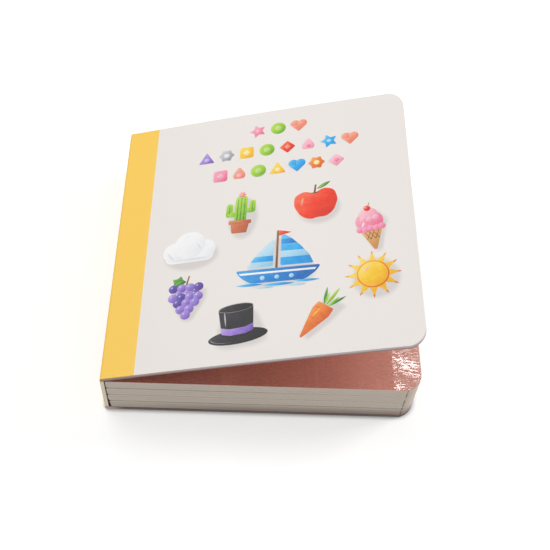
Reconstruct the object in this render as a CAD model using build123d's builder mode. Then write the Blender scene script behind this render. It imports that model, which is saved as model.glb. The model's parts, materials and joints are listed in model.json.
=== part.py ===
"""A square board book that lies on its back cover, with its front cover standing ajar.

+X runs from the spine to the fore edge, +Y from the tail to the head, and +Z up.
The origin is the middle of the book's footprint, on the surface it lies on.
"""

import os
from math import acos, asin, degrees, radians, sin

from build123d import *

# Driving dimensions, in millimetres and degrees
book_width = 150.0  # outer face of the spine to the fore edge
book_height = 153.0  # tail to head
cover_thickness = 2.3
spine_thickness = 1.8
leaf_thickness = 2.08
leaf_count = 12
leaves_per_gather = 3  # the block stands open a little after each gather
corner_radius = 9.5  # the die that rounds both fore-edge corners
corner_run = 6.9  # how far from the fore edge that die leaves the head and the tail
leaf_gap = 0.2
leaf_gap_depth = 0.8
gather_gap = 0.45
gather_gap_depth = 1.6
cover_open_angle = 15.8  # how far the front cover stands off the block
cover_bow = 1.0  # rise of the front cover's middle over the line from hinge to fore edge
cover_seat_gap = 0.2  # between the block and a closed cover
spine_end_gap = 0.25  # between the spine board's ends and the covers' round hinge edges
spine_back_gap = 0.3  # between the spine board and the block
spine_edge_ease = 0.3  # softened outer edges of the spine board

# Derived sizes
block_thickness = leaf_count * leaf_thickness
block_bottom = cover_thickness + cover_seat_gap
block_top = block_bottom + block_thickness
book_thickness = block_top + cover_seat_gap + cover_thickness
spine_x = -book_width / 2
fore_x = book_width / 2
hinge_radius = cover_thickness / 2
hinge_x = spine_x + hinge_radius
lower_hinge_z = hinge_radius
upper_hinge_z = book_thickness - hinge_radius
cover_reach = fore_x - hinge_x
spine_bottom = cover_thickness + spine_end_gap
spine_top = book_thickness - cover_thickness - spine_end_gap
block_spine_x = spine_x + spine_thickness + spine_back_gap
corner_sweep = degrees(acos(1 - corner_run / corner_radius))
corner_drop = corner_radius * sin(radians(corner_sweep))
bow_radius = (cover_reach**2 / 4 + cover_bow**2) / (2 * cover_bow)
bow_half_angle = degrees(asin(cover_reach / 2 / bow_radius))

os.makedirs("parts", exist_ok=True)


def trimmed_outline(left, right):
    """Draws the shape that the board is trimmed to, square at the spine, round at the fore edge."""
    foot = -book_height / 2
    head = book_height / 2
    with BuildLine() as trim:
        Line((left, foot), (right - corner_run, foot))
        tail_corner = CenterArc(
            (right - corner_radius, foot + corner_drop), corner_radius, -corner_sweep, corner_sweep
        )
        Line(tail_corner @ 1, (right, head - corner_drop))
        head_corner = CenterArc(
            (right - corner_radius, head - corner_drop), corner_radius, 0, corner_sweep
        )
        Polyline(head_corner @ 1, (left, head), (left, foot))
    make_face(trim.line)


def bowed_arc(distance):
    """Draws the cover's bow at a distance outside its middle line, from the hinge to the fore edge."""
    centre = (cover_reach / 2, cover_bow - bow_radius)
    return CenterArc(
        centre, bow_radius + distance, 90 + bow_half_angle, -2 * bow_half_angle
    )


# Front cover: a board that bows upwards, with a full round at its hinge edge
open_direction = Vector(1, 0, 0).rotate(Axis.Y, -cover_open_angle)
front_hinge = Plane(origin=(hinge_x, 0, upper_hinge_z), x_dir=open_direction, z_dir=(0, -1, 0))
front_face = Plane(origin=front_hinge.origin, x_dir=front_hinge.x_dir, z_dir=front_hinge.y_dir)

with BuildPart() as front_cover:
    with BuildSketch(front_hinge):
        with BuildLine():
            outside = bowed_arc(hinge_radius)
            inside = bowed_arc(-hinge_radius)
            Line(outside @ 1, inside @ 1)
            CenterArc((0, 0), hinge_radius, 90 + bow_half_angle, 180)
        make_face()
    extrude(amount=book_height / 2, both=True)
    with BuildSketch(front_face):
        trimmed_outline(-book_height, cover_reach)
    extrude(amount=book_height, both=True, mode=Mode.INTERSECT)

# Back cover: the same board, flat on the table
with BuildPart() as back_cover:
    with BuildSketch(Plane.XZ):
        with Locations((hinge_x, lower_hinge_z)):
            Circle(hinge_radius)
        with Locations((hinge_x, 0)):
            Rectangle(cover_reach, cover_thickness, align=(Align.MIN, Align.MIN))
    extrude(amount=book_height / 2, both=True)
    with BuildSketch(Plane.XY):
        trimmed_outline(2 * spine_x, fore_x)
    extrude(amount=cover_thickness, mode=Mode.INTERSECT)

# Spine board: a stiff strip between the two round hinge edges
with BuildPart() as spine_board:
    with BuildSketch(Plane.XY.offset(spine_bottom)):
        with Locations((spine_x, 0)):
            Rectangle(spine_thickness, book_height, align=(Align.MIN, Align.CENTER))
    extrude(amount=spine_top - spine_bottom)
    outer_face = spine_board.faces().sort_by(Axis.X)[0]
    fillet(outer_face.edges().filter_by(Axis.Y), radius=min(spine_edge_ease, spine_thickness / 3))

# Page block: all the leaves as one solid, with a groove round the edges between neighbours
with BuildPart() as page_block:
    with BuildSketch(Plane.XY.offset(block_bottom)):
        trimmed_outline(block_spine_x, fore_x)
    extrude(amount=block_thickness)
    for leaf in range(1, leaf_count):
        opens = leaf % leaves_per_gather == 0
        gap = gather_gap if opens else leaf_gap
        depth = gather_gap_depth if opens else leaf_gap_depth
        with BuildSketch(Plane.XY.offset(block_bottom + leaf * leaf_thickness)) as groove:
            trimmed_outline(block_spine_x, fore_x)
            offset(groove.face(), amount=-depth, mode=Mode.SUBTRACT)
        extrude(amount=gap / 2, both=True, mode=Mode.SUBTRACT)

pieces = {
    "front_cover": front_cover,
    "back_cover": back_cover,
    "spine_board": spine_board,
    "page_block": page_block,
}
for name, piece in pieces.items():
    piece.part.label = name
    export_step(piece.part, f"parts/{name}.step")

print("front cover hinge at", hinge_x, 0, upper_hinge_z, "open by", cover_open_angle)
print("back cover hinge at", hinge_x, 0, lower_hinge_z)
print("closed thickness", book_thickness, "block from", block_bottom, "to", block_top)
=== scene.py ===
import json
from math import asin, cos, pi, radians, sin

import bmesh
import bpy
from mathutils import Matrix, Vector


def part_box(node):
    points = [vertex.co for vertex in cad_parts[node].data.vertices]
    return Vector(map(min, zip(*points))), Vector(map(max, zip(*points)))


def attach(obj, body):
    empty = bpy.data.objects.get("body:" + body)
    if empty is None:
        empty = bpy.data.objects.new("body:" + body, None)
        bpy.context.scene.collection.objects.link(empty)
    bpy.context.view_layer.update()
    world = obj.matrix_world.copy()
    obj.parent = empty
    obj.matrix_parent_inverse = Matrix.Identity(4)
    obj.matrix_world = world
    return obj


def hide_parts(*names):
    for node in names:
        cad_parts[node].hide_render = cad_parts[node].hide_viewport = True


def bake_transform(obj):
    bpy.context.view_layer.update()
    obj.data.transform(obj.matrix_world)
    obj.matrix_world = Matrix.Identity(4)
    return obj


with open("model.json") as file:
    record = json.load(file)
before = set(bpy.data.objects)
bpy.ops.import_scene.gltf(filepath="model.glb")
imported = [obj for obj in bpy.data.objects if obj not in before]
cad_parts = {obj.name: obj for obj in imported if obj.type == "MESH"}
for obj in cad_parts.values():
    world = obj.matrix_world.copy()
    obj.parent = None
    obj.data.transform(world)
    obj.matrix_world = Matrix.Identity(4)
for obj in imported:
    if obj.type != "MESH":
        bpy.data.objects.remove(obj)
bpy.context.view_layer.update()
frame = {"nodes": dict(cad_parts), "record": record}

joints = {joint["name"]: joint for joint in frame["record"]["behaviour"]["joints"]}
backLow, backHigh = (corner * 1000 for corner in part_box("back_cover"))
pageLow, pageHigh = (corner * 1000 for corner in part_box("page_block"))
spineLow, spineHigh = (corner * 1000 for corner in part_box("spine_board"))
frontHinge = Vector(joints["front_cover_hinge"]["pos_m"]) * 1000
backHinge = Vector(joints["back_cover_hinge"]["pos_m"]) * 1000
print("frame loaded, millimetres from here on until a piece is finished")

book = {
    "cornerRadius": 9.5,  # the die that rounds the fore-edge corners
    "cornerRun": 6.9,  # where it leaves the head and the tail
    "cornerSteps": 10,
    "nickRun": 0.35,  # in a leaf, the slope down to the nick where the die starts
    "nickTurn": 0.035,  # radians of the corner that the nick takes away
    "coverBow": 1.0,  # rise of the front cover's middle
    "bandWidth": 17.0,  # yellow, from the spine's outer face
    "leafCount": 12,
    "bendStep": 5.0,  # length of the flats that a bowed face is made of
    "crossStep": 25.0,  # the same from the tail to the head
}
openAngle = -radians(joints["front_cover_hinge"]["range_deg"][0])
boardThickness = backHigh.z - backLow.z
boardReach = backHigh.x - backHinge.x
halfHeight = backHigh.y
bowRadius = (boardReach**2 / 4 + book["coverBow"] ** 2) / (2 * book["coverBow"])
bowHalf = asin(boardReach / 2 / bowRadius)
tiny = 1e-4  # points nearer than this are one


class Wire:  # a socket that Python's own sums work on
    def __init__(self, tree, socket=None):
        self.tree = tree
        self.socket = socket

    def node(self, kind, settings=None, values=None, give=0):
        made = self.tree.nodes.new("ShaderNode" + kind)
        for key, value in (settings or {}).items():
            if key == "stops":
                stops = made.color_ramp.elements
                while len(stops) < len(value):
                    stops.new(0.5)
                for stop, (place, colour) in zip(stops, value):
                    stop.position = place
                    stop.color = colour
            else:
                setattr(made, key, value)
        for key, value in (values or {}).items():
            if isinstance(value, Wire):
                self.tree.links.new(value.socket, made.inputs[key])
            else:
                made.inputs[key].default_value = value
        return Wire(self.tree, made.outputs[give] if len(made.outputs) else None)

    def maths(self, operation, *numbers):
        return self.node("Math", {"operation": operation}, dict(enumerate(numbers)))

    def __add__(self, other):
        return self.maths("ADD", self, other)

    def __radd__(self, other):
        return self.maths("ADD", other, self)

    def __sub__(self, other):
        return self.maths("SUBTRACT", self, other)

    def __rsub__(self, other):
        return self.maths("SUBTRACT", other, self)

    def __mul__(self, other):
        return self.maths("MULTIPLY", self, other)

    def __rmul__(self, other):
        return self.maths("MULTIPLY", other, self)

    def __abs__(self):
        return self.maths("ABSOLUTE", self)

    def ramp(self, low, high):  # 0 at low, 1 at high, smooth between
        return self.node(
            "MapRange",
            {"interpolation_type": "SMOOTHSTEP"},
            {"Value": self, "From Min": low, "From Max": high, "To Min": 0.0, "To Max": 1.0},
        )

    def split(self):
        return [self.node("SeparateXYZ", None, {0: self}, give=axis) for axis in range(3)]

    def stretched(self, x, y, z, turn=0.0):
        values = {"Vector": self, "Scale": (x, y, z), "Rotation": (0, 0, turn)}
        return self.node("Mapping", None, values)

    def noise(self, scale, detail=2.0, rough=0.5, warp=0.0):
        values = {"Vector": self, "Scale": scale, "Detail": detail, "Roughness": rough}
        values["Distortion"] = warp
        return self.node("TexNoise", None, values)

    def blend(self, first, second):  # this wire is the mask from first to second
        return self.node("Mix", {"data_type": "RGBA"}, {0: self, 6: first, 7: second}, give=2)

    def grey(self):
        return self.node("CombineColor", None, {0: self, 1: self, 2: self})

    def stored(self, name, give=2):  # what is kept on the mesh: 2 gives a number, 1 a vector
        return self.node("Attribute", {"attribute_name": name}, give=give)

    def seen(self):  # 1 where the camera looks, also in a mirror or through glass
        camera, mirror, glass = (self.node("LightPath", give=which) for which in (0, 3, 6))
        return self.maths("MAXIMUM", self.maths("MAXIMUM", camera, mirror), glass)


def tint(*levels):  # a colour as a paint chart gives it, 0 to 255
    shares = [level / 255 for level in levels]
    linear = [((s + 0.055) / 1.055) ** 2.4 if s > 10 / 255 else s / 12.92 for s in shares]
    return (*linear, 1.0)


def startFinish(name):
    material = bpy.data.materials.new(name)
    material.use_nodes = True
    material.node_tree.nodes.clear()
    return material, Wire(material.node_tree)


def endFinish(material, wire, colour, roughness, height, relief, shine=None):
    bump = wire.node("Bump", None, {"Height": height, "Distance": relief, "Strength": 1.0})
    values = {"Base Color": colour, "Roughness": roughness, "Normal": bump, **(shine or {})}
    wire.node("OutputMaterial", None, {"Surface": wire.node("BsdfPrincipled", None, values)})
    return material


def flatPlace(wire):  # millimetres on the flat sheet: from the hinge, up the page, out of it
    return wire.stored("flat", 1)


def framePlace(wire):  # millimetres in the book's own frame
    return wire.node("TexCoord", give=3).stretched(1000, 1000, 1000)


paper = {
    "white": tint(239, 233, 228),
    "yellow": tint(255, 206, 70),
    "bandBlur": 0.12,
    "dust": tint(225, 218, 210),  # what fibres and specks fade the print towards
    "inkDust": 0.35,  # how much of that there is over a picture
    "shadow": tint(112, 108, 112),  # of the soft shadows that are printed
    "shade": 0.26,  # how dark they are
    "gloss": 0.40,
    "relief": 0.00012,  # metres, as every relief here
    "shine": {"Specular IOR Level": 0.35, "Coat Weight": 0.06, "Coat Roughness": 0.25},
    "inkShine": {"Specular IOR Level": 0.22, "Coat Weight": 0.03, "Coat Roughness": 0.25},
}


def laminate(material, wire, place, colour, shine, dust=1.0):  # the film over the print
    fibres = place.noise(0.9, 4.0, 0.6)
    waves = place.noise(0.045, 2.0, 0.5)
    specks = place.stretched(1, 1, 0.2).noise(4.5, 3.0, 0.7)
    toned = ((fibres * 0.05 + specks * 0.03) * dust).blend(colour, paper["dust"])
    roughness = waves * 0.07 + specks * 0.05 + (paper["gloss"] - 0.06)
    height = waves + specks * 0.012
    return endFinish(material, wire, toned, roughness, height, paper["relief"], shine)


def coverFinish():
    material, wire = startFinish("coverPaper")
    place = flatPlace(wire)
    edge = book["bandWidth"] - boardThickness / 2
    band = 1 - place.split()[0].ramp(edge - paper["bandBlur"], edge + paper["bandBlur"])
    printed = band.blend(paper["white"], paper["yellow"])
    shaded = (wire.stored("soft").ramp(0.0, 1.0) * paper["shade"]).blend(printed, paper["shadow"])
    return laminate(material, wire, place, shaded, paper["shine"])


def wrapFinish():
    material, wire = startFinish("spinePaper")
    return laminate(material, wire, framePlace(wire), paper["yellow"], paper["shine"])


page = {
    "red": tint(220, 154, 136),
    "deepRed": tint(168, 105, 91),
    "paintedLight": (14.0, 60.0, 0.72),  # painted light: lighter from and to this far from the middle, by this much, towards the fore edge
    # painted shade: a darker band from and to this far from the middle, by this much, nearer the
    # gutter
    "paintedShade": (-25.0, 10.0, 0.11),
    "clouds": 0.3,
    "ribs": 0.12,
    "gloss": 0.03,  # in the streaks, which are the glossiest
    "matt": 0.34,
    "streaks": (0.47, 0.54),  # of the ripple's height
    "ripple": 0.75,  # streaks to the millimetre, roughly
    "rippleDepth": 0.5,
    "swell": 0.6,
    "relief": 0.000006,
    "shine": {"Specular IOR Level": 0.9},
    "foldShade": tint(118, 74, 62),  # painted shade where the sheet is creased into the fold
    "crackRed": tint(146, 92, 76),
    "foldEnds": (0.4, 1.7),  # from the block's back edge
    "foldRelief": 0.00006,
}


def pageFinish():
    material, wire = startFinish("pagePrint")
    place = flatPlace(wire)
    cloudy = place.noise(0.035, 3.0, 0.55)
    ribs = place.stretched(1.0, 0.06, 1.0).noise(0.55, 2.0, 0.5)
    patches = place.noise(0.06, 1.0, 0.4).ramp(0.5, 0.62)
    alongX = place.split()[0]
    (start, end, paintedLight), (shadeStart, shadeEnd, paintedShade) = page["paintedLight"], page["paintedShade"]
    # painted light and shade: the page lighter towards the fore edge and darker nearer the gutter,
    # a lining darker near its hinge
    across = alongX.ramp(start, end) * paintedLight - alongX.ramp(shadeStart, shadeEnd) * paintedShade
    tone = across + cloudy * page["clouds"] + patches * ribs.ramp(0.42, 0.64) * page["ribs"]
    colour = tone.blend(page["deepRed"], page["red"])
    ripple = place.stretched(0.55, 1.8, 1.0, 0.55).noise(page["ripple"], 2.0, 0.5, 0.8)
    height = ripple * page["rippleDepth"] + place.noise(0.12, 2.0, 0.5) * page["swell"]
    roughness = page["matt"] - ripple.ramp(*page["streaks"]) * (page["matt"] - page["gloss"])
    return endFinish(material, wire, colour, roughness, height, page["relief"], page["shine"])


def foldFinish():  # the same print, cracked where it is creased, and darkened there with painted shade
    material, wire = startFinish("foldedPagePrint")
    place = framePlace(wire)
    cracks = place.stretched(1.0, 0.15, 1.0).noise(1.6, 3.0, 0.6)
    creased = (cracks.ramp(0.45, 0.8) * 0.5).blend(page["foldShade"], page["crackRed"])
    plain = (place.noise(0.035, 3.0, 0.55) * page["clouds"]).blend(page["deepRed"], page["red"])
    fromFold = place.split()[0].ramp(*(pageLow.x + end for end in page["foldEnds"]))
    colour = fromFold.blend(creased, plain)
    return endFinish(material, wire, colour, cracks * 0.2 + 0.3, cracks, page["foldRelief"])


board = {
    "relief": 0.00008,
    "shine": {"Specular IOR Level": 0.3},
    "dirt": tint(84, 76, 64),  # painted shade in the nick where the corner's die started
    "nickShadeShare": 0.85,
    "nickShadeReach": (0.7, 0.2),  # in from the head and the tail: where it starts and is full
}


def boardFinish(name, face, core, plyCount, near=None, low=None, nickX=None):
    # near is the colour that the edge starts with at the hinge, and where it ends
    # low is a painted shade: a colour, its share at the spine and in front, and the heights it
    # fades between
    material, wire = startFinish(name)
    place = flatPlace(wire)
    alongX, alongY, through = place.split()
    plies = place.stretched(0.02, 0.02, plyCount).noise(1.0, 4.0, 0.6)
    fibres = place.stretched(0.7, 0.7, 3.0).noise(1.3, 4.0, 0.65)
    stains = place.stretched(0.03, 0.03, 0.5).noise(1.0, 2.0, 0.5)
    tone = plies.ramp(0.3, 0.75) * 0.4 + fibres * 0.35 + stains * 0.25
    colour = tone.blend(core, face)
    if near:
        colour = alongX.ramp(0.0, near[1]).blend(near[0], colour)
    if low:
        # painted shade: full below the foot, fading out up to the end height
        paintedShadeTone, atSpine, inFront, foot, end = low
        share = alongX.ramp(backLow.x, 0.0) * (inFront - atSpine) + atSpine
        colour = ((1 - through.ramp(foot, end)) * share).blend(colour, paintedShadeTone)
    # painted shade in the nick, broken into dashes, near the head and the tail
    if nickX:
        beside = 1 - abs(alongX - nickX).ramp(0.10, 0.42)
        outside = abs(alongY).ramp(*(halfHeight - reach for reach in board["nickShadeReach"]))
        broken = place.stretched(0.3, 0.3, 1.0).noise(0.42, 2.0, 0.5).ramp(0.40, 0.52)
        colour = (beside * outside * broken * board["nickShadeShare"]).blend(colour, board["dirt"])
    height = plies * 0.6 + fibres * 0.4
    roughness = fibres * 0.15 + 0.72
    return endFinish(material, wire, colour, roughness, height, board["relief"], board["shine"])


coverPaper = coverFinish()
spinePaper = wrapFinish()
pagePrint = pageFinish()
foldPrint = foldFinish()
coverEdge = boardFinish(
    "coverCutEdge", tint(224, 216, 218), tint(190, 180, 180), 2.2,
    # low paints shade: the cut edge darker towards its lining side, which lies in the cover's
    # shadow
    near=(tint(176, 158, 138), 70.0), low=(tint(136, 108, 104), 0.9, 0.9, -1.3, 0.6),
)
# painted shade: the back cover's cut edge is coloured dark for the shadow along the table, and
# lighter near the spine
shadedBackEdge = boardFinish(
    "backCoverShadedEdge", tint(128, 118, 112), tint(96, 86, 82), 2.2, near=(tint(190, 176, 172), 9.0)
)
leafEdge = boardFinish(
    "leafCutEdge", tint(214, 203, 190), tint(194, 182, 168), 2.6,
    # low paints shade: the lowest leaves darker towards the table, more so towards the fore edge
    low=(tint(146, 134, 126), 0.35, 0.95, 2.0, 10.5), nickX=pageHigh.x - book["cornerRun"],
)
leafBack = boardFinish("glue", tint(120, 94, 72), tint(84, 62, 46), 1.0)
# painted highlight: the top page's rounded lip coloured pale where its edge catches light
pageLipHighlight = boardFinish("pageLipHighlight", tint(246, 212, 196), tint(232, 190, 174), 1.0)
print("finishes ready")


def everything(bm):
    return bm.verts[:] + bm.edges[:] + bm.faces[:]


def vertsOf(geom):
    return [item for item in geom if isinstance(item, bmesh.types.BMVert)]


def cutAcross(bm, axis, step, low, high):  # flats, so that a bend has somewhere to go
    count = int((high - low) / step)
    for index in range(1, count + 1):
        point, normal = Vector(), Vector()
        point[axis] = low + index * (high - low) / (count + 1)
        normal[axis] = 1
        bmesh.ops.bisect_plane(bm, geom=everything(bm), dist=tiny, plane_co=point, plane_no=normal)


def trimmedFace(bm, left, right, z, notch=0.0):
    # the tail half of the outline, then its mirror image for the head
    radius, run = book["cornerRadius"], book["cornerRun"]
    lean = asin(1 - run / radius)  # from straight down to where the die leaves the tail
    centre = (right - radius, radius * cos(lean) - halfHeight, z)
    first = lean
    chain = [bm.verts.new((left, -halfHeight, z))]
    if notch:  # a small step where the die starts
        first += book["nickTurn"]
        chain.append(bm.verts.new((right - run - book["nickRun"], -halfHeight, z)))
        chain.append(bm.verts.new((right - run, notch - halfHeight, z)))
    start = (centre[0] + radius * sin(first), centre[1] - radius * cos(first), z)
    chain.append(bm.verts.new(start))
    for a, b in zip(chain, chain[1:]):
        bm.edges.new((a, b))
    spun = bmesh.ops.spin(
        bm, geom=[chain[-1]], cent=centre, axis=(0, 0, 1), angle=pi / 2 - first,
        steps=book["cornerSteps"],
    )
    last = vertsOf(spun["geom_last"])[0]
    mirrored = bmesh.ops.mirror(
        bm, geom=everything(bm), matrix=Matrix.Identity(4), merge_dist=tiny / 10, axis="Y"
    )
    ends = [v for v in vertsOf(mirrored["geom"]) if len(v.link_edges) == 1]
    head = {round(v.co.x, 3): v for v in ends}
    bm.edges.new((chain[0], head[round(left, 3)]))
    bm.edges.new((last, head[round(right, 3)]))
    return bmesh.ops.contextual_create(bm, geom=bm.edges[:])["faces"][0]


def thicken(bm, faces, depth):
    grown = bmesh.ops.extrude_face_region(bm, geom=faces)
    bmesh.ops.translate(bm, verts=vertsOf(grown["geom"]), vec=(0, 0, depth))
    bmesh.ops.recalc_face_normals(bm, faces=bm.faces[:])


def soften(bm, geom, radius, segments, affect="EDGES"):
    bmesh.ops.bevel(
        bm, geom=geom, offset=radius, offset_type="OFFSET", segments=segments,
        profile=0.5, affect=affect, material=-1, clamp_overlap=True,
    )


def sharpEdges(bm, turn=50.0):
    return [e for e in bm.edges if len(e.link_faces) == 2 and e.calc_face_angle() > radians(turn)]


def addTo(whole, bm):
    part = bpy.data.meshes.new("part")
    bm.to_mesh(part)
    bm.free()
    whole.from_mesh(part)
    bpy.data.meshes.remove(part)


def finishPiece(name, bm, finishes, body=None, bend=None, seamAngle=32):
    bm.normal_update()
    flat = bm.verts.layers.float_vector.new("flat")
    for v in bm.verts:
        v[flat] = v.co
        if bend:
            v.co = bend(v.co)
    bmesh.ops.scale(bm, vec=(0.001, 0.001, 0.001), verts=bm.verts[:])
    mesh = bpy.data.meshes.new(name)
    bm.to_mesh(mesh)
    bm.free()
    mesh.polygons.foreach_set("use_smooth", [True] * len(mesh.polygons))
    mesh.set_sharp_from_angle(angle=radians(seamAngle))
    piece = bpy.data.objects.new(name, mesh)
    bpy.context.scene.collection.objects.link(piece)
    for finish in finishes:
        mesh.materials.append(finish)
    if body:
        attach(piece, body)
    return piece


def shadeFlats(piece):  # wide faces stay flat beside their rounded edges
    weights = piece.modifiers.new("flatFaces", "WEIGHTED_NORMAL")
    weights.mode = "FACE_AREA"
    weights.weight = 80
    weights.keep_sharp = True


def alongBow(place):  # flat cover to the bowed one that stands ajar
    share = min(max(place.x / boardReach, 0.0), 1.0)
    turn = bowHalf * (1 - 2 * share)
    over = place.x - share * boardReach
    x = boardReach / 2 - bowRadius * sin(turn) + over * cos(turn) - place.z * sin(turn)
    z = book["coverBow"] - bowRadius * (1 - cos(turn)) + over * sin(turn) + place.z * cos(turn)
    bentX = frontHinge.x + x * cos(openAngle) - z * sin(openAngle)
    return Vector((bentX, place.y, frontHinge.z + x * sin(openAngle) + z * cos(openAngle)))


def underBlock(place):  # the same board, face down on the table
    return Vector((backHinge.x + place.x, place.y, backHinge.z - place.z))


cover = {
    "softEdge": 0.3,  # the die crushes the printed side's edge a little
    "softSegments": 3,
    "hingeSegments": 8,
}


def makeCover(name, node, body, bend, edge):
    half = boardThickness / 2
    bm = bmesh.new()
    thicken(bm, [trimmedFace(bm, -half, boardReach, -half)], boardThickness)
    hingeEdges = []
    for e in bm.edges:
        level = abs(e.verts[0].co.z - e.verts[1].co.z) < tiny
        if level and all(v.co.x < tiny - half for v in e.verts):
            hingeEdges.append(e)
    soften(bm, hingeEdges, half * 0.999, cover["hingeSegments"])  # all but a full round
    soften(bm, sharpEdges(bm), cover["softEdge"], cover["softSegments"])
    cutAcross(bm, 0, book["bendStep"], 0, boardReach)
    cutAcross(bm, 1, book["crossStep"], -halfHeight, halfHeight)
    bm.normal_update()
    for face in bm.faces:  # 0 is the printed outside, 1 the lining, 2 the cut edge
        up = face.normal.z
        if face.calc_center_median().x < 0.05:  # the round edge at the hinge
            face.material_index = 2 if abs(face.normal.y) > 0.6 else 0 if up > -0.2 else 1
        else:
            face.material_index = 0 if up > 0.55 else 1 if up < -0.95 else 2
    if bend is underBlock:
        bmesh.ops.reverse_faces(bm, faces=bm.faces[:])
    piece = finishPiece(name, bm, [coverPaper, pagePrint, edge], body, bend)
    shadeFlats(piece)
    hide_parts(node)


makeCover("frontCoverBoard", "front_cover", "front_cover", alongBow, coverEdge)
makeCover("backCoverBoard", "back_cover", "back_cover", underBlock, shadedBackEdge)
print("covers made")

leaves = {
    "tightGap": 0.035,  # between leaves that lie close
    "openSeams": {3: (0.42, 0.40), 6: (0.22, 0.14), 9: (0.46, 0.12)},  # at the spine, in front
    "gather": 3,  # leaves between two open seams
    "lip": 0.14,  # rounding of a leaf's edges
    "lipSegments": 2,
    "wave": 0.10,  # how far an open seam swings
    "tightWave": 0.35,  # how much of that a shut seam has
    "longWave": 17,  # a full wave is 2 pi times this
    "shortWave": 7.3,
    "crossWave": 40,
    "nick": 0.34,  # deepest where the corner's die starts
    "foldRadius": 0.9,
    "foldSegments": 5,
    "setBack": 0.8,  # the lowest leaves stop short of the spine
    "setBackCount": 3.5,  # up to here, counted from below
    "pinch": 0.5,  # the middle opens a little more right at the spine
    "pinchReach": 0.02,  # of the way to the fore edge
    "spineReach": 3,
    "spineStep": 1.0,  # length of the flats near the spine
    "step": 6.0,  # and beyond
}
leafPitch = (pageHigh.z - pageLow.z) / book["leafCount"]


def seamHeight(index, x, y):  # middle of a seam, which waves a little
    level = pageLow.z + index * leafPitch
    if index in (0, book["leafCount"]):
        return level
    swing = leaves["wave"] * (1.0 if index in leaves["openSeams"] else leaves["tightWave"])
    phase = x / leaves["shortWave"] + index * 4.7 + y / leaves["crossWave"]
    return level + swing * (sin(x / leaves["longWave"] + index * 2.1) + 0.6 * sin(phase))


def seamHalfGap(index, x):
    spineGap, foreGap = leaves["openSeams"].get(index, (leaves["tightGap"],) * 2)
    share = (x - pageLow.x) / (pageHigh.x - pageLow.x)
    middle = index == book["leafCount"] // 2
    pinch = leaves["pinch"] * max(0.0, 1 - share / leaves["pinchReach"]) ** 2 if middle else 0.0
    return (spineGap + (foreGap - spineGap) * share + pinch) / 2


def makeLeaf(index):
    bm = bmesh.new()
    nick = leaves["nick"] * (0.55 + 0.45 * sin(index * 2.4))  # no two leaves alike
    left = pageLow.x + leaves["setBack"] * max(0.0, 1 - index / leaves["setBackCount"]) ** 0.8
    thicken(bm, [trimmedFace(bm, left, pageHigh.x, 0, nick)], 1.0)
    bmesh.ops.scale(bm, vec=(1, 1, leafPitch), verts=bm.verts[:])
    folded = []
    for e in bm.edges:  # a gather's outer edges at the spine, where its sheets are folded
        first, second = e.verts
        seam = index + (1 if first.co.z > 0.1 else 0)
        level = first.co.z == second.co.z
        if level and seam % leaves["gather"] == 0 and all(v.co.x < left + tiny for v in e.verts):
            folded.append(e)
    soften(bm, folded, leaves["foldRadius"], leaves["foldSegments"])
    soften(bm, sharpEdges(bm), leaves["lip"], leaves["lipSegments"])
    cutAcross(bm, 0, leaves["spineStep"], left, left + leaves["spineReach"])
    cutAcross(bm, 0, leaves["step"], left + leaves["spineReach"], pageHigh.x)
    cutAcross(bm, 1, book["crossStep"], -halfHeight, halfHeight)
    bm.normal_update()
    top = index == book["leafCount"] - 1
    outer = 1 if top else -1 if index == 0 else 0  # which way the leaf shows a page
    for face in bm.faces:  # 0 is the cut edge, 1 the print, 2 its lip with a painted highlight, 3 the glued back
        if face.normal.z * outer > 0.9:
            face.material_index = 1
        elif face.normal.z * outer > 0.3:
            face.material_index = 2
        elif face.normal.x < -0.5:
            face.material_index = 3
    for v in bm.verts:
        x, y = v.co.x, v.co.y
        low = seamHeight(index, x, y) + seamHalfGap(index, x) * (index > 0)
        high = seamHeight(index + 1, x, y) - seamHalfGap(index + 1, x) * (not top)
        v.co.z = low + v.co.z / leafPitch * (high - low)
    return bm


def makeLeaves():
    whole = bmesh.new()
    for index in range(book["leafCount"]):
        addTo(whole, makeLeaf(index))
    finishes = [leafEdge, pagePrint, pageLipHighlight, leafBack]
    piece = finishPiece("pageLeaves", whole, finishes, "book_block", seamAngle=60)
    shadeFlats(piece)
    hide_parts("page_block")


makeLeaves()
print("leaves made")

spine = {
    "core": tint(226, 206, 182),
    "face": tint(250, 240, 222),
    "glue": tint(96, 72, 54),
    "glueDepth": (0.3, 0.02),  # in from the side that faces the block
    "relief": 0.00006,
}


def spineFinish():
    material, wire = startFinish("spineBoardCore")
    place = framePlace(wire)
    plies = place.stretched(3.0, 0.02, 0.05).noise(1.0, 3.0, 0.6)
    fibres = place.stretched(1.5, 0.7, 0.7).noise(1.3, 4.0, 0.6)
    card = (plies.ramp(0.35, 0.65) * 0.6 + fibres * 0.3).blend(spine["core"], spine["face"])
    glued = place.split()[0].ramp(*(spineHigh.x - depth for depth in spine["glueDepth"]))
    colour = glued.blend(card, spine["glue"])
    return endFinish(material, wire, colour, fibres * 0.15 + 0.7, plies + fibres, spine["relief"])


spineBoard = frame["nodes"]["spine_board"]  # the CAD node itself, with a finish of its own
spineBoard.data.materials.clear()
spineBoard.data.materials.append(spineFinish())

wrap = {  # the yellow paper over a hinge
    "thickness": 0.05,
    "lapStart": 0.3,
    "onCover": 6.0,  # how far it laps on to a cover, thinning out
    "sink": 0.02,  # how deep its end goes into the cover
    "arcSteps": 12,
    "foldStart": 1.41,  # below the hinge's middle, just past the spine board's end
    "foldEnd": 1.09,  # as far above it
    "foldSteps": 5,  # flats in the straight run up to the hinge
}
blockMiddle = (spineLow.z + spineHigh.z) / 2


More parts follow.
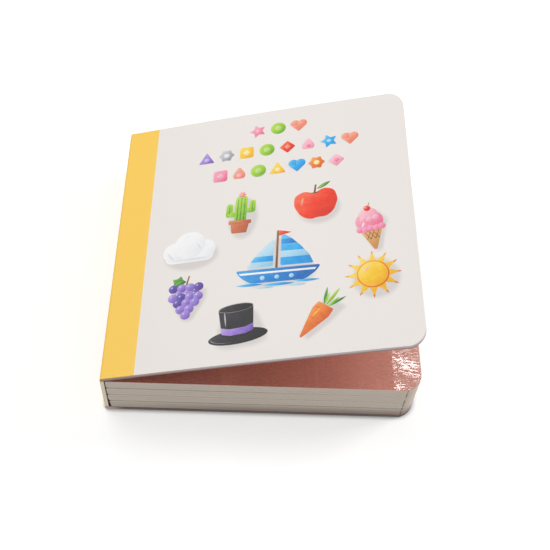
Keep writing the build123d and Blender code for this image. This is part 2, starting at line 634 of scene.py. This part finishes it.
def sheetAlong(start, centre, angle, steps, lap):  # a straight run, an arc and another run
    bm = bmesh.new()
    verts = [bm.verts.new(point) for point in start]
    for a, b in zip(verts, verts[1:]):
        bm.edges.new((a, b))
    spun = bmesh.ops.spin(
        bm, geom=[verts[-1]], cent=centre, axis=(0, 1, 0), angle=angle, steps=steps
    )
    end = vertsOf(spun["geom_last"])[0]
    for point in lap:
        after = bm.verts.new(point)
        bm.edges.new((end, after))
        end = after
    swept = bmesh.ops.extrude_edge_only(bm, edges=bm.edges[:])
    bmesh.ops.translate(bm, verts=vertsOf(swept["geom"]), vec=(0, 2 * halfHeight, 0))
    return bm


def giveWall(bm, thickness, outward):
    face = max(bm.faces, key=lambda f: f.calc_area())
    bmesh.ops.recalc_face_normals(bm, faces=bm.faces[:])
    bm.normal_update()
    if face.normal.dot(outward) < 0:
        bmesh.ops.reverse_faces(bm, faces=bm.faces[:])
        bm.normal_update()
    bmesh.ops.solidify(bm, geom=bm.faces[:], thickness=-thickness)
    bmesh.ops.recalc_face_normals(bm, faces=bm.faces[:])


def makeWrap(name, hinge, side, opened):
    # side is 1 for the front cover's hinge and -1 for the back cover's
    reach = boardThickness / 2 + wrap["thickness"]
    outer = hinge.x - reach
    lift = Vector((cos(opened), 0, side * sin(opened)))
    outward = Vector((-sin(opened), 0, side * cos(opened)))
    foot = hinge.z - side * wrap["foldStart"]
    start = [(outer, -halfHeight, blockMiddle)]
    for step in range(wrap["foldSteps"] + 1):
        start.append((outer, -halfHeight, foot + (hinge.z - foot) * step / wrap["foldSteps"]))
    lap = []
    ends = ((wrap["lapStart"], 0.0), (wrap["onCover"], wrap["thickness"] + wrap["sink"]))
    for along, sink in ends:
        lap.append(hinge + lift * along + outward * (reach - sink) + Vector((0, -halfHeight, 0)))
    centre = (hinge.x, -halfHeight, hinge.z)
    bm = sheetAlong(start, centre, side * (pi / 2 - opened), wrap["arcSteps"], lap)
    giveWall(bm, wrap["thickness"], Vector((-1, 0, 0)))
    piece = finishPiece(name, bm, [spinePaper], seamAngle=60)
    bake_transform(piece)


makeWrap("frontHingeWrap", frontHinge, 1, openAngle + bowHalf)
makeWrap("backHingeWrap", backHinge, -1, 0.0)
print("hinge papers made")

gutter = {  # the page sheet where it folds from a cover on to the block
    "thickness": 0.04,
    "clear": 0.045,  # between the fold and what it lies on
    "foldBack": 0.25,  # the fold stands this far in from the block's back edge
    "onPage": 3.0,
    "onCover": 3.4,
    "thinning": 0.4,  # how long each end is that goes down to what it lies on
    "sink": 0.02,
    "arcSteps": 14,
    "blendStart": 0.004,  # off the page
}


def makeGutter(name, hinge, side, opened, pageZ):
    half = boardThickness / 2
    foldX = pageLow.x + gutter["foldBack"]
    topZ = pageZ + side * gutter["clear"]
    lift = Vector((cos(opened), 0, side * sin(opened)))
    inward = Vector((sin(opened), 0, -side * cos(opened)))
    level = side * (hinge.z - topZ)
    room = (foldX - hinge.x) * sin(opened) + level * cos(opened) - half - gutter["clear"]
    radius = room / (1 + cos(opened))
    centre = Vector((foldX, -halfHeight, topZ + side * radius))
    start = [
        (foldX + gutter["onPage"], -halfHeight, pageZ - side * gutter["sink"]),
        (foldX + gutter["onPage"] - gutter["thinning"], -halfHeight, topZ),
        (foldX, -halfHeight, topZ),
    ]
    tail = Vector((0, -halfHeight, 0))
    thinFrom = hinge + lift * (gutter["onCover"] - gutter["thinning"])
    lap = [
        thinFrom + inward * (half + gutter["clear"]) + tail,
        hinge + lift * gutter["onCover"] + inward * (half - gutter["sink"]) + tail,
    ]
    bm = sheetAlong(start, centre, side * (pi - opened), gutter["arcSteps"], lap)
    giveWall(bm, gutter["thickness"], Vector((0, 0, side)))
    piece = finishPiece(name, bm, [foldPrint], seamAngle=60)
    arcEnd = centre - inward * radius
    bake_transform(piece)


makeGutter("frontGutter", frontHinge, 1, openAngle + bowHalf, pageHigh.z)
makeGutter("backGutter", backHinge, -1, 0.0, pageLow.z)
print("gutters made")

inks = {  # dark, middle and light of each ink
    "red": ((214, 42, 22), (246, 62, 32), (253, 126, 90)),
    "orange": ((214, 92, 34), (240, 128, 52), (252, 172, 96)),
    "yellow": ((240, 168, 20), (252, 204, 44), (255, 228, 110)),
    "palePink": ((240, 150, 170), (250, 182, 198), (254, 214, 222)),
    "pink": ((232, 102, 140), (247, 146, 176), (252, 186, 204)),
    "salmon": ((236, 120, 96), (246, 152, 126), (252, 186, 162)),
    "green": ((104, 164, 32), (156, 208, 54), (198, 228, 100)),
    "leafGreen": ((48, 110, 50), (76, 146, 62), (128, 186, 88)),
    "deepBlue": ((16, 98, 178), (30, 136, 216), (76, 176, 236)),
    "blue": ((22, 138, 216), (46, 174, 240), (122, 208, 248)),
    "paleBlue": ((130, 194, 230), (172, 218, 242), (210, 236, 248)),
    "violet": ((112, 82, 176), (156, 124, 212), (196, 172, 232)),
    "deepViolet": ((78, 54, 138), (102, 76, 168), (134, 108, 194)),
    "black": ((14, 14, 18), (32, 31, 36), (66, 64, 72)),
    "grey": ((150, 148, 154), (190, 188, 192), (216, 214, 218)),
    "white": ((236, 237, 240), (248, 248, 249), (254, 254, 254)),
    "mist": ((216, 219, 226), (228, 230, 235), (240, 241, 244)),
    "lime": ((168, 208, 96), (190, 224, 122), (214, 238, 160)),
    "lilac": ((178, 150, 220), (200, 178, 232), (222, 206, 242)),
    "cream": ((250, 222, 130), (254, 234, 160), (255, 244, 200)),
    "tan": ((196, 134, 72), (224, 168, 100), (240, 198, 138)),
    "brown": ((104, 66, 40), (134, 90, 56), (164, 118, 80)),
    "clay": ((176, 84, 52), (206, 112, 74), (228, 148, 108)),
}
printing = {
    "stops": (0.12, 0.5, 0.92),  # where an ink is dark, middle and light
    "across": 0.7,  # what makes it so: the way over a field, a wash and strokes
    "wash": 0.5,
    "strokes": 0.24,
    "darker": 0.22,
    "lift": 0.012,  # the first ink over the paper
    "step": 0.003,  # each ink over the one before
    "root": 0.03,  # how far a field reaches down into the board
    "rounding": 4,  # flats in a rounded corner
    "shadowLift": 0.006,
    "shadowBlur": 3.4,
    "shadowShift": (1.5, -2.3),
}


def inkFinish(name, shades):
    material, wire = startFinish(name + "Ink")
    place = flatPlace(wire)
    wash = place.noise(0.32, 3.0, 0.6)
    strokes = place.stretched(0.5, 2.4, 1.0, 0.6).noise(0.8, 2.0, 0.5)
    depth = wire.stored("tone") * printing["across"] + wash * printing["wash"]
    depth = depth + strokes * printing["strokes"] - printing["darker"]
    stops = [(stop, tint(*shade)) for stop, shade in zip(printing["stops"], shades)]
    colour = wire.node("ValToRGB", {"stops": stops}, {0: depth})
    return laminate(material, wire, place, colour, paper["inkShine"], paper["inkDust"])


inkFinishes = {name: inkFinish(name, shades) for name, shades in inks.items()}


def onSheet(u, v, size=(1, 1), turn=0.0):
    turned = Matrix.Rotation(radians(turn), 4, "Z") @ Matrix.Diagonal((size[0], size[1], 1, 1))
    return Matrix.Translation((u, v, 0)) @ turned


def placed(bm, place):
    bmesh.ops.transform(bm, matrix=place, verts=bm.verts[:])
    return bm


def disc(u, v, wide, high=None, turn=0.0, sides=36):
    bm = bmesh.new()
    place = onSheet(u, v, (wide, high or wide), turn)
    bmesh.ops.create_circle(bm, cap_ends=True, segments=sides, radius=1.0, matrix=place)
    return bm


def outline(corners, rounding=0.0):
    bm = bmesh.new()
    bm.faces.new([bm.verts.new((u, v, 0)) for u, v in corners])
    if rounding:
        soften(bm, bm.verts[:], rounding, printing["rounding"], "VERTICES")
    return bm


def lens(u, v, length, wide, turn=0.0):  # two arcs that meet in points
    bm = bmesh.new()
    bulge = wide / length
    radius = (1 + bulge**2) / (2 * bulge)
    tip = bm.verts.new((-1, 0, 0))
    bmesh.ops.spin(
        bm, geom=[tip], cent=(0, bulge - radius, 0), axis=(0, 0, 1),
        angle=-2 * asin(1 / radius), steps=10,
    )
    bmesh.ops.mirror(
        bm, geom=everything(bm), matrix=Matrix.Identity(4), merge_dist=tiny, axis="Y"
    )
    bmesh.ops.remove_doubles(bm, verts=bm.verts[:], dist=tiny)
    bmesh.ops.contextual_create(bm, geom=bm.edges[:])
    return placed(bm, onSheet(u, v, (length / 2, length / 2), turn))


def star(u, v, radius, points, waist, rounding=0.0, turn=0.0):
    bm = bmesh.new()
    made = bmesh.ops.create_circle(bm, cap_ends=True, segments=points * 2, radius=radius)
    bmesh.ops.scale(bm, vec=(waist, waist, 1), verts=made["verts"][::2])
    if rounding:
        soften(bm, bm.verts[:], rounding, printing["rounding"], "VERTICES")
    return placed(bm, onSheet(u, v, turn=turn))


def bar(u, v, wide, high, rounding=0.0, turn=0.0):
    x, y = wide / 2, high / 2
    bm = outline([(-x, -y), (x, -y), (x, y), (-x, y)], rounding)
    return placed(bm, onSheet(u, v, turn=turn))


def layFlat(bm):  # printed side up, and cut where the cover is cut
    bm.normal_update()
    if any(face.normal.z < 0 for face in bm.faces):
        bmesh.ops.reverse_faces(bm, faces=bm.faces[:])
    cutAcross(bm, 0, book["bendStep"], 0, boardReach)


def giveBody(bm, lift):  # from this high over the paper down into the board
    bmesh.ops.translate(bm, verts=bm.verts[:], vec=(0, 0, boardThickness / 2 + lift))
    thicken(bm, bm.faces[:], -lift - printing["root"])


def addField(whole, bm, place, lift, slot):
    layFlat(placed(bm, place))
    across = [v.co.x - v.co.y for v in bm.verts]
    low, high = min(across), max(across)
    tone = bm.verts.layers.float.new("tone")  # light comes from the head, on the spine's side
    for v in bm.verts:
        v[tone] = 1 - (v.co.x - v.co.y - low) / (high - low)
    giveBody(bm, lift)
    for face in bm.faces:
        face.material_index = slot
    addTo(whole, bm)


def makePrint(name, fields, centre, turn=0.0, size=1.0):
    # centre is counted from the spine's outer face and from the head
    whole = bmesh.new()
    used = []
    place = onSheet(centre[0] - boardThickness / 2, halfHeight - centre[1], (size, size), turn)
    for index, (ink, bm) in enumerate(fields):
        if ink not in used:
            used.append(ink)
        addField(whole, bm, place, printing["lift"] + index * printing["step"], used.index(ink))
    finishes = [inkFinishes[ink] for ink in used]
    shadeFlats(finishPiece(name, whole, finishes, "front_cover", alongBow))


def makeShadow(name, bm, centre, turn=0.0, size=1.0):
    # a full core, and a ring grown outward from it that fades away
    soft = bm.verts.layers.float.new("soft")
    half = [max(abs(v.co[axis]) for v in bm.verts) for axis in (0, 1)]
    grow = [(reach + printing["shadowBlur"] / size) / reach for reach in half]
    rim = bmesh.ops.extrude_edge_only(bm, edges=bm.edges[:])
    outer = vertsOf(rim["geom"])
    bmesh.ops.scale(bm, vec=(grow[0], grow[1], 1), verts=outer)
    for v in bm.verts:
        v[soft] = 0.0 if v in outer else 1.0
    shiftU, shiftV = printing["shadowShift"]
    middle = (centre[0] - boardThickness / 2 + shiftU, halfHeight - centre[1] + shiftV)
    placed(bm, onSheet(*middle, (size, size), turn))
    bmesh.ops.recalc_face_normals(bm, faces=bm.faces[:])
    layFlat(bm)
    giveBody(bm, printing["shadowLift"])
    shadeFlats(finishPiece(name, bm, [coverPaper], "front_cover", alongBow))


# Each picture is a list of fields, the lowest first: an ink and a shape
boatPicture = [
    ("brown", bar(-0.4, 4.5, 1.1, 24)),
    ("blue", outline(
        [(1.4, -4.4), (17.5, -4.4), (15.4, 0.5), (11, 6.5), (6, 11.5), (1.4, 15)], 0.9
    )),
    ("paleBlue", outline([(1.4, 0.2), (15.3, 0.2), (12.9, 4.0), (1.4, 4.0)])),
    ("deepBlue", outline([(1.4, 8.2), (9.3, 8.2), (6.6, 11.0), (1.4, 11.0)])),
    ("paleBlue", outline([(-2.2, -4.4), (-15, -4.4), (-11.5, 1.5), (-7, 7), (-2.2, 11.5)], 0.8)),
    ("blue", outline([(-2.2, -1.4), (-13.2, -1.4), (-11.2, 1.8), (-2.2, 1.8)])),
    ("red", outline([(0.2, 16.6), (6.4, 14.9), (0.2, 13.2)], 0.3)),
    ("deepBlue", outline([
        (-20.5, -5.6), (21, -5.6), (18.6, -9.4), (13.5, -13.4), (-12.5, -13.4), (-17.4, -10),
    ], 1.5)),
    ("white", outline([(-18.7, -7.2), (18.9, -7.2), (18.1, -8.3), (-17.9, -8.3)])),
    *[("paleBlue", disc(u, -10.7, 1.15)) for u in (-7.0, 0.0, 7.0)],
    ("blue", lens(-13.0, -14.2, 13, 1.5)),
    ("blue", lens(1.0, -14.9, 15, 1.6)),
    ("blue", lens(14.5, -14.0, 12, 1.4)),
    ("paleBlue", lens(-5.5, -16.2, 9, 1.0)),
    ("paleBlue", lens(9.5, -16.1, 9, 1.0)),
]
sunPicture = []
for k in range(12):
    u, v = 10.4 * cos(k * pi / 6), 10.4 * sin(k * pi / 6)
    sunPicture.append(("orange", lens(u, v, 7.0, 1.25, k * 30)))
sunPicture += [
    ("yellow", star(0, 0, 12.6, 12, 0.62, 0.5, 15)),
    ("orange", disc(0, 0, 7.9)),
    ("yellow", disc(0, 0, 7.2)),
    ("palePink", lens(-2.9, 3.4, 4.6, 0.8, 40)),
]
carrotPicture = [
    ("leafGreen", lens(-3.4, 10.5, 10, 1.5, 116)),
    ("leafGreen", lens(3.3, 10.6, 10, 1.5, 66)),
    ("green", lens(0, 11.8, 12, 1.7, 90)),
    ("green", lens(-1.9, 9.4, 8, 1.1, 104)),
    ("green", lens(1.9, 9.4, 8, 1.1, 77)),
    ("orange", outline([
        (-4.4, 6.2), (4.4, 6.2), (4.9, 1.6), (2.5, -7.5),
        (0.5, -14.6), (-0.5, -14.6), (-2.5, -7.5), (-4.9, 1.6),
    ], 2.0)),
    ("red", lens(-2.8, 3.2, 3.6, 0.35, 4)),
    ("red", lens(2.4, 0.4, 3.8, 0.35, -6)),
    ("red", lens(-1.9, -2.8, 3.0, 0.35, 5)),
    ("red", lens(0.9, -6.2, 2.4, 0.3, -6)),
    ("yellow", lens(-1.7, 0.6, 7.0, 0.6, 84)),
]
cactusPicture = [
    ("green", bar(-6.6, 1.6, 3.8, 9.6, 1.85)),
    ("green", bar(-4.2, -1.4, 6.6, 3.4, 1.6)),
    ("green", bar(6.4, 3.6, 3.6, 8.8, 1.75)),
    ("green", bar(4.1, 0.8, 6.4, 3.2, 1.5)),
    ("green", bar(0, 1.8, 6.8, 20.6, 3.3)),
    *[("leafGreen", bar(u, 1.4, 0.5, v, 0.2)) for u, v in ((-1.9, 16), (0, 17.6), (1.9, 16))],
    ("leafGreen", bar(-6.6, 2.2, 0.4, 6.4, 0.18)),
    ("leafGreen", bar(6.4, 4.0, 0.4, 6.0, 0.18)),
    ("pink", star(0, 12.4, 2.5, 6, 0.55, 0.35)),
    ("yellow", disc(0, 12.4, 0.8)),
    ("clay", outline([(-5.4, -7.2), (5.4, -7.2), (4.2, -14.4), (-4.2, -14.4)], 0.7)),
    ("clay", bar(0, -7.0, 12.8, 2.6, 0.6)),
    ("tan", lens(-1.4, -6.4, 7.0, 0.4)),
]
grapePicture = [
    ("brown", bar(0.6, 10.4, 0.9, 6.4, 0.3, -12)),
    ("leafGreen", star(-4.6, 9.6, 4.6, 5, 0.62, 0.7, 20)),
    ("green", lens(-4.6, 9.6, 6.8, 0.5, 28)),
]
grapeRows = ((4, 5.6), (3, 0.9), (4, -0.6), (3, -4.4), (2, -8.6), (1, -12.4))  # count, height
for row, (count, v) in enumerate(grapeRows):
    for k in range(count):
        u = (k - (count - 1) / 2) * 4.9 + (0.4 if row % 2 else -0.2)
        grapePicture += [
            ("deepViolet" if (k + row) % 3 == 0 else "violet", disc(u, v, 2.75)),
            ("paleBlue", disc(u - 0.95, v + 1.0, 0.62, 0.42, 40)),
        ]
icePicture = [("tan", outline([(-6.2, -1.5), (6.2, -1.5), (0.7, -15.4), (-0.7, -15.4)], 0.8))]
for side in (1, -1):
    for k in range(3):
        short = abs(k - 1)
        u = side * (2.0 - 2.3 * k)
        line = bar(u, -5.2 - 0.5 * short, 0.34, 7.4 - 1.6 * short, 0.1, side * 26)
        icePicture.append(("brown", line))
icePicture += [
    ("pink", disc(0, 4.0, 7.6, 6.8)),
    *[("pink", disc(-6.0 + 3.0 * k, -0.9 - 0.5 * (k % 2), 2.0)) for k in range(5)],
    ("palePink", disc(0.2, 8.6, 5.2, 4.6)),
    *[("palePink", disc(*drip)) for drip in ((-3.2, 5.8, 1.7), (0.4, 5.2, 1.8), (3.8, 5.8, 1.7))],
    ("white", lens(-3.8, 2.2, 4.2, 0.8, 62)),
    ("leafGreen", bar(1.5, 15.0, 0.4, 3.2, 0.1, -28)),
    ("red", disc(0.4, 12.9, 1.9)),
    ("palePink", disc(-0.3, 13.5, 0.5)),
]
cloudPicture = [
    ("white", bar(0.4, -4.4, 25, 7.4, 3.5)),
    ("white", disc(-7.6, -1.0, 6.0)),
    ("white", disc(8.2, -0.8, 5.6)),
    ("white", disc(0.2, 2.6, 8.2)),
    ("mist", lens(0.4, -6.4, 20.0, 1.3)),
    ("mist", lens(-9.6, -3.4, 7.0, 1.0, -52)),
    ("mist", lens(5.0, 1.6, 6.0, 0.8, 118)),
    ("white", lens(-2.4, 7.2, 6.4, 1.0, 34)),
]
hatPicture = [
    ("black", disc(0, -7.4, 15.2, 4.3)),
    ("grey", disc(-0.4, -7.0, 13.6, 3.4)),
    ("black", disc(0, -6.8, 13.9, 3.6)),
    ("black", outline(
        [(-8.0, -6.2), (-4.0, -7.8), (4.0, -7.8), (8.0, -6.2), (9.1, 9.6), (-9.1, 9.6)], 0.6
    )),
    ("violet", outline([
        (-8.1, -4.9), (-4.0, -6.3), (4.0, -6.3), (8.1, -4.9),
        (8.35, -1.0), (4.0, -2.5), (-4.0, -2.5), (-8.35, -1.0),
    ], 0.2)),
    ("grey", disc(0, 9.6, 9.1, 2.5)),
    ("black", disc(0, 9.5, 8.8, 2.25)),
    ("grey", lens(-5.9, 3.6, 9.0, 0.7, 91)),
]
applePicture = [
    ("red", outline([
        (0, 5.9), (5.2, 8.6), (10.6, 6.2), (11.6, -0.6), (8.6, -7.6), (4.0, -10.8), (0, -9.8),
        (-4.0, -10.8), (-8.6, -7.6), (-11.6, -0.6), (-10.6, 6.2), (-5.2, 8.6),
    ], 2.8)),
    ("brown", lens(0, 6.3, 5.0, 0.8)),
    ("brown", bar(0.8, 9.0, 1.0, 5.6, 0.4, -14)),
    ("leafGreen", lens(5.4, 10.2, 8.6, 2.1, 24)),
    ("green", lens(5.4, 10.2, 7.0, 0.3, 24)),
    ("salmon", lens(-7.0, 1.6, 6.4, 1.1, 74)),
]

ring = {"centre": (84.0, 99.5), "wide": 48.5, "high": 35.5}  # eight pictures stand round the boat


def onRing(angle):
    u, v = ring["centre"]
    return (u + ring["wide"] * cos(radians(angle)), v - ring["high"] * sin(radians(angle)))


pictures = {  # fields, place, turn, size and the core of the shadow
    "boat": (
        boatPicture, (84.0, 98.0), -2, 1.0,
        outline([(-17, -6), (-3, 12), (3, 14), (16, -5), (12, -12), (-12, -12)], 4),
    ),
    "cactus": (cactusPicture, onRing(113), -3, 0.9, disc(0, -1.5, 6.2, 12.5)),
    "apple": (applePicture, onRing(67), 6, 0.95, disc(0, -1.5, 9.2, 8.4)),
    "ice": (
        icePicture, onRing(22), 8, 0.88,
        outline([(-6.5, 5), (-3, 11), (3, 11), (6.5, 5), (1.5, -12), (-1.5, -12)], 2),
    ),
    "sun": (sunPicture, onRing(-23), 0, 0.95, disc(0, 0, 9.6)),
    "carrot": (
        carrotPicture, onRing(-67), -38, 0.95,
        outline([(-4, 10), (4, 10), (3.4, 2), (0.8, -11), (-0.8, -11), (-3.4, 2)], 1),
    ),
    "hat": (
        hatPicture, onRing(-113), 5, 0.92,
        outline([(-7.5, 8), (7.5, 8), (12, -7), (7, -9.5), (-7, -9.5), (-12, -7)], 3),
    ),
    "grape": (
        grapePicture, onRing(-157), 0, 0.86,
        outline([(-8, 6), (8, 6), (8, 0), (2, -12), (-2, -12), (-8, 0)], 3),
    ),
    "cloud": (cloudPicture, onRing(157), 0, 0.98, disc(0, -1.5, 12.0, 7.4)),
}
for name, (fields, centre, turn, size, shade) in pictures.items():
    makeShadow(name + "Shade", shade, centre, turn, size)
    makePrint(name + "Picture", fields, centre, turn, size)
print("pictures printed")


def smallShape(shape, u, v):  # the shape, and a smaller one to lay on it
    if shape == "disc":
        return [disc(u, v, 4.0)], [disc(u, v, 1.7)]
    if shape == "square":
        return [bar(u, v, 7.4, 7.4, 1.2)], [bar(u, v, 3.0, 3.0, 0.4, 45)]
    if shape == "triangle":
        corners = [(u - 4.3, v - 3.5), (u + 4.3, v - 3.5), (u, v + 4.2)]
        return [outline(corners, 0.7)], [disc(u, v - 1.1, 1.3)]
    if shape == "star":
        return [star(u, v, 4.7, 5, 0.52, 0.35, 54)], [disc(u, v, 1.1)]
    if shape == "flower":
        return [star(u, v, 4.6, 6, 0.66, 1.0)], [disc(u, v, 1.5)]
    if shape == "diamond":
        return [bar(u, v, 5.9, 5.9, 0.6, 45)], [bar(u, v, 2.4, 2.4, 0.2, 45)]
    if shape == "drop":
        foot = [(u - 3.0, v - 3.4), (u + 3.0, v - 3.4), (u + 3.4, v - 0.6)]
        return [outline(foot + [(u, v + 4.6), (u - 3.4, v - 0.6)], 1.3)], [disc(u, v - 1.3, 1.2)]
    point = outline([(u - 4.2, v + 0.2), (u + 4.2, v + 0.2), (u, v - 4.2)], 0.4)
    return [disc(u - 1.9, v + 1.4, 2.5), disc(u + 1.9, v + 1.4, 2.5), point], []  # a heart


shapeRows = [  # distance from the head, first and last middle, each shape and its ink
    (13.5, 73.0, 95.0, {"star": "pink", "disc": "green", "heart": "salmon"}),
    (27.6, 45.5, 121.5, {
        "triangle": "violet", "flower": "grey", "square": "yellow", "disc": "green",
        "diamond": "red", "drop": "palePink", "star": "blue", "heart": "salmon",
    }),
    (41.2, 53.5, 114.0, {
        "square": "pink", "drop": "salmon", "disc": "green", "triangle": "yellow",
        "heart": "blue", "flower": "orange", "diamond": "palePink",
    }),
]
innerInk = {  # a paler tone of the same ink
    "pink": "palePink", "green": "lime", "salmon": "palePink", "violet": "lilac", "grey": "mist",
    "yellow": "cream", "red": "salmon", "blue": "paleBlue", "orange": "cream", "palePink": "pink",
}
rowFields = []
for down, first, last, row in shapeRows:
    for k, (shape, ink) in enumerate(row.items()):
        outside, inside = smallShape(shape, first + (last - first) * k / (len(row) - 1), -down)
        rowFields += [(ink, bm) for bm in outside] + [(innerInk[ink], bm) for bm in inside]
makePrint("headingShapes", rowFields, (0.0, 0.0))
print("small shapes printed")

photoLens = {  # fitted to the edges in the photo, in millimetres
    "focal": 60.34,
    "sensor": 36.0,
    "place": (-12.91, -278.40, 407.61),
    "right": (0.99862, 0.00609, 0.05216),
    "down": (0.03481, -0.82048, -0.57061),
    "ahead": (0.03933, 0.57164, -0.81956),
}


def makeCamera():
    data = bpy.data.cameras.new("photoCamera")
    data.lens = photoLens["focal"]
    data.sensor_width = photoLens["sensor"]
    data.clip_start = 0.01
    data.clip_end = 20
    camera = bpy.data.objects.new("photoCamera", data)
    bpy.context.scene.collection.objects.link(camera)
    right, down, ahead = (Vector(photoLens[way]) for way in ("right", "down", "ahead"))
    turned = Matrix((right, -down, -ahead)).transposed().to_4x4()
    camera.matrix_world = Matrix.Translation(Vector(photoLens["place"]) / 1000) @ turned
    bpy.context.scene.camera = camera


stage = {
    "floorSize": 6.0,  # metres
    "floorDrop": 0.01,  # under the papers that stand proud of the back cover, in millimetres
    "floorGrey": 0.56,
    "floorLift": 0.56,  # what the camera sees added, so that the floor reads white
    "farLift": 0.8,  # the same far from the book, where the lamps don't reach
    "liftRange": (250.0, 1400.0),
    "contact": 0.0035,  # metres from the book to where its darkest shadow ends
    "contactRange": (0.5, 0.9),
    "contactLight": 0.15,  # what is left of the lift right at the book
    "world": 0.46,  # how bright the room is, which is white to the camera
}
lamps = {  # place, aim, size, power, and whether gloss mirrors it
    "keyLamp": ((-0.42, 0.38, 0.85), (0, 0, 0.03), (0.7, 0.7), 4.0, True),
    "fillLamp": ((0.10, -1.05, 0.18), (0, 0, 0.02), (0.6, 0.6), 2.6, True),
    "sideLamp": ((1.30, 0.50, 0.62), (0.03, 0, 0.02), (0.6, 0.6), 16.0, False),
}
windows = {  # what the glossy page mirrors near its corner: place, size and glow
    "windowLampWide": ((0.460, 0.820, 1.640), (0.260, 0.300), 0.38),
    "windowLampTall": ((0.340, 0.664, 1.310), (0.094, 0.030), 12.0),
    "windowLampHaze": ((0.352, 0.694, 1.296), (0.088, 0.028), 2.4),
    "windowLampLow": ((0.326, 0.620, 1.330), (0.050, 0.012), 13.5),
}
pageCorner = (0.068, -0.062, 0.0275)  # what the windows aim at


def makeFloor():
    bm = bmesh.new()
    bmesh.ops.create_grid(bm, x_segments=8, y_segments=8, size=stage["floorSize"] * 500)
    down = -2 * wrap["thickness"] - stage["floorDrop"]
    bmesh.ops.translate(bm, verts=bm.verts[:], vec=(0, 0, down))
    material, wire = startFinish("paleFloor")
    place = framePlace(wire)
    colour = (place.noise(0.02, 2.0, 0.5) * 0.02 + (stage["floorGrey"] - 0.01)).grey()
    values = {"Base Color": colour, "Roughness": 0.9, "Specular IOR Level": 0.1}
    matt = wire.node("BsdfPrincipled", None, values)
    away = wire.node("VectorMath", {"operation": "LENGTH"}, {0: place}, give=1)
    rise = stage["farLift"] - stage["floorLift"]
    lift = away.ramp(*stage["liftRange"]) * rise + stage["floorLift"]
    near = wire.node("AmbientOcclusion", {"samples": 8}, {"Distance": stage["contact"]}, give=1)
    dark = stage["contactLight"]
    lift = lift * (near.ramp(*stage["contactRange"]) * (1 - dark) + dark)
    glow = wire.node("Emission", None, {"Color": lift.grey()})
    white = wire.node("AddShader", None, {0: matt, 1: glow})
    shown = wire.node("MixShader", None, {0: wire.seen(), 1: matt, 2: white})
    wire.node("OutputMaterial", None, {"Surface": shown})
    floor = finishPiece("floor", bm, [material])


def makeWorld():
    world = bpy.data.worlds.new("softRoom")
    world.use_nodes = True
    world.node_tree.nodes.clear()
    bpy.context.scene.world = world
    wire = Wire(world.node_tree)
    strength = stage["world"] + wire.seen() * (1 - stage["world"])
    sky = wire.node("Background", None, {"Color": (1, 1, 1, 1), "Strength": strength})
    wire.node("OutputWorld", None, {"Surface": sky})


def makeLamp(name, place, aim, size, power, mirrored=True):
    data = bpy.data.lights.new(name, "AREA")
    data.shape = "RECTANGLE"
    data.size, data.size_y = size
    data.energy = power
    lamp = bpy.data.objects.new(name, data)
    bpy.context.scene.collection.objects.link(lamp)
    lamp.visible_camera = False
    lamp.visible_glossy = mirrored
    lamp.location = place
    lamp.rotation_euler = (Vector(aim) - Vector(place)).to_track_quat("-Z", "Y").to_euler()


makeCamera()
makeFloor()
makeWorld()
for name, values in lamps.items():
    makeLamp(name, *values)
for name, (place, size, glow) in windows.items():
    makeLamp(name, place, pageCorner, size, glow * pi * size[0] * size[1])
bpy.context.scene.view_settings.view_transform = "Standard"
print("stage and light set")
